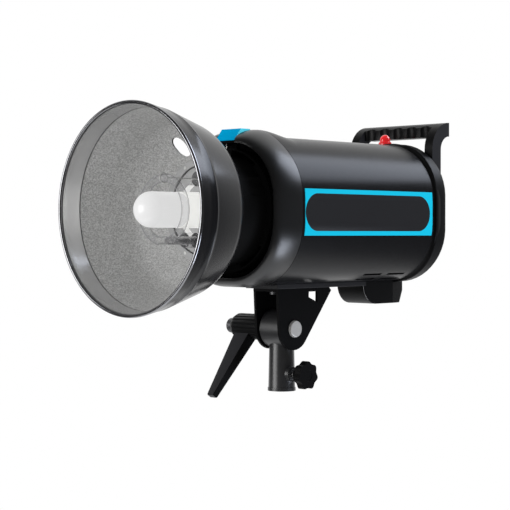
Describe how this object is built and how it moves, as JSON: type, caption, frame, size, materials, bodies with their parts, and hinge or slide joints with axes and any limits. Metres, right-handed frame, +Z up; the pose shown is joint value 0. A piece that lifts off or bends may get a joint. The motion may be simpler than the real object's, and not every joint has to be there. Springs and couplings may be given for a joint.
{
  "type": "monolight strobe",
  "caption": "Black studio monolight strobe with a silver-lined bowl reflector, blue side label and slider, rear handle and a tilting stand socket with lever and clamp knob",
  "frame": {"origin": "centre of the stand socket's open mouth", "axes": "+Z up, out of the stand; the light faces -Y, so +Y runs to the rear panel; +X is the clamp knob's side"},
  "size_m": [0.18, 0.3744, 0.2614],
  "materials": {
    "dark_casting": "satin paint over a casting",
    "brass": "turned",
    "friction_fibre": "matt fibre",
    "zinc_steel": "zinc plated",
    "black_plastic": "fine grain",
    "black_metal": "satin black coat",
    "bright_aluminium": "bright",
    "white_ceramic": "glazed",
    "frosted_glass": "frosted",
    "clear_glass": "clear",
    "chrome": "polished",
    "blue_label": "printed film",
    "dark_label": "printed film",
    "grey_plastic": "fine grain",
    "smoked_window": "smoked red",
    "red_lens": "clear red, moulded",
    "red_button": "fine grain",
    "capacitor_sleeve": "shrink sleeve",
    "circuit_board": "solder mask",
    "iron_core": "varnished laminations",
    "silver_bowl": "pebbled silver inside, satin black coat outside",
    "blue_plastic": "satin"
  },
  "bodies": {
    "stand_side": {"socket_casting": "dark_casting", "clamp_bush": "zinc_steel", "friction_discs": "friction_fibre"},
    "clamp_pad": {"clamp_pad": "brass"},
    "clamp_knob": {"clamp_stud": "zinc_steel", "clamp_knob": "black_plastic"},
    "head": {"tilt_bracket": "black_metal", "bracket_screws": "black_metal", "tilt_bolt": "zinc_steel", "tilt_washer": "black_metal", "mount_rail": "black_metal", "casing": "black_metal", "front_shell": "black_plastic", "mount_ring": "black_plastic", "small_screws": "zinc_steel", "umbrella_tube": "zinc_steel", "lamp_base": "black_plastic", "lamp_plate": "bright_aluminium", "lamp_holder": "white_ceramic", "lamp_glass": "frosted_glass", "lamp_collar": "white_ceramic", "lamp_cap": "bright_aluminium", "flash_tube": "clear_glass", "tube_sockets": "chrome", "release_spring": "zinc_steel", "side_labels": "blue_label", "label_inlays": "dark_label", "rear_bezel": "black_plastic", "carry_handle": "black_plastic", "handle_screws": "zinc_steel", "control_panel": "grey_plastic", "display_window": "smoked_window", "slave_cell": "red_lens", "mains_inlet": "black_plastic", "fuse_cap": "black_plastic", "sync_socket": "chrome", "chassis_tray": "bright_aluminium", "capacitors": "capacitor_sleeve", "main_board": "circuit_board", "control_board": "circuit_board", "transformer": "iron_core", "fan_frame": "black_plastic", "rear_foot": "black_plastic"},
    "reflector": {"reflector_bowl": "silver_bowl", "bayonet_ring": "black_metal", "ring_rivets": "zinc_steel"},
    "release_slider": {"release_slider": "blue_plastic", "lock_pin": "zinc_steel"},
    "clamp_nut": {"clamp_nut": "zinc_steel", "lever_screw": "grey_plastic", "lever_spring": "zinc_steel"},
    "tilt_lever": {"tilt_lever": "black_plastic"},
    "fan_rotor": {"fan_rotor": "black_plastic"},
    "power_dial": {"power_dial": "black_plastic"},
    "button_model": {"button_model": "grey_plastic"},
    "button_sound": {"button_sound": "grey_plastic"},
    "button_slave": {"button_slave": "grey_plastic"},
    "button_test": {"button_test": "red_button"},
    "power_rocker": {"power_rocker": "black_plastic"}
  },
  "joints": [
    {"name": "head_tilt", "type": "hinge", "parent": "stand_side", "child": "head", "pos_m": [0, 0, 0.057], "axis": [1, 0, 0], "range_deg": [-75, 90]},
    {"name": "lever_turn", "type": "hinge", "parent": "head", "child": "clamp_nut", "pos_m": [-0.028, 0, 0.057], "axis": [1, 0, 0], "range_deg": [-45, 90]},
    {"name": "lever_pull", "type": "slide", "parent": "clamp_nut", "child": "tilt_lever", "axis": [-1, 0, 0], "range_m": [0, 0.005], "stiffness_N_per_m": 600, "springref_m": -0.004, "deforming": ["lever_spring"]},
    {"name": "clamp_feed", "type": "slide", "parent": "stand_side", "child": "clamp_pad", "axis": [1, 0, 0], "range_m": [-0.002, 0.002]},
    {"name": "clamp_turn", "type": "hinge", "parent": "clamp_pad", "child": "clamp_knob", "pos_m": [0.02, 0, 0.0155], "axis": [1, 0, 0], "range_deg": [-720, 720]},
    {"name": "reflector_twist", "type": "hinge", "parent": "head", "child": "reflector", "pos_m": [0, -0.066, 0.164], "axis": [0, -1, 0], "range_deg": [0, 36]},
    {"name": "release_slide", "type": "slide", "parent": "head", "child": "release_slider", "axis": [0, 1, 0], "range_m": [0, 0.005], "stiffness_N_per_m": 250, "springref_m": -0.004, "deforming": ["release_spring"]},
    {"name": "fan_spin", "type": "hinge", "parent": "head", "child": "fan_rotor", "pos_m": [0, 0.102, 0.15], "axis": [0, 1, 0], "continuous": true},
    {"name": "dial_turn", "type": "hinge", "parent": "head", "child": "power_dial", "pos_m": [0.024, 0.16, 0.161], "axis": [0, 1, 0], "range_deg": [-150, 150]},
    {"name": "press_model", "type": "slide", "parent": "head", "child": "button_model", "axis": [0, -1, 0], "range_m": [0, 0.0015], "stiffness_N_per_m": 200, "springref_m": -0.002},
    {"name": "press_sound", "type": "slide", "parent": "head", "child": "button_sound", "axis": [0, -1, 0], "range_m": [0, 0.0015], "stiffness_N_per_m": 200, "springref_m": -0.002},
    {"name": "press_slave", "type": "slide", "parent": "head", "child": "button_slave", "axis": [0, -1, 0], "range_m": [0, 0.0015], "stiffness_N_per_m": 200, "springref_m": -0.002},
    {"name": "press_test", "type": "slide", "parent": "head", "child": "button_test", "axis": [0, -1, 0], "range_m": [0, 0.0015], "stiffness_N_per_m": 200, "springref_m": -0.002},
    {"name": "rocker_tip", "type": "hinge", "parent": "head", "child": "power_rocker", "pos_m": [-0.035, 0.1525, 0.161], "axis": [1, 0, 0], "range_deg": [0, 14]}
  ],
  "couplings": [
    {"joint": "clamp_turn", "follows": "clamp_feed", "rad_per_m": 6283.2}
  ]
}
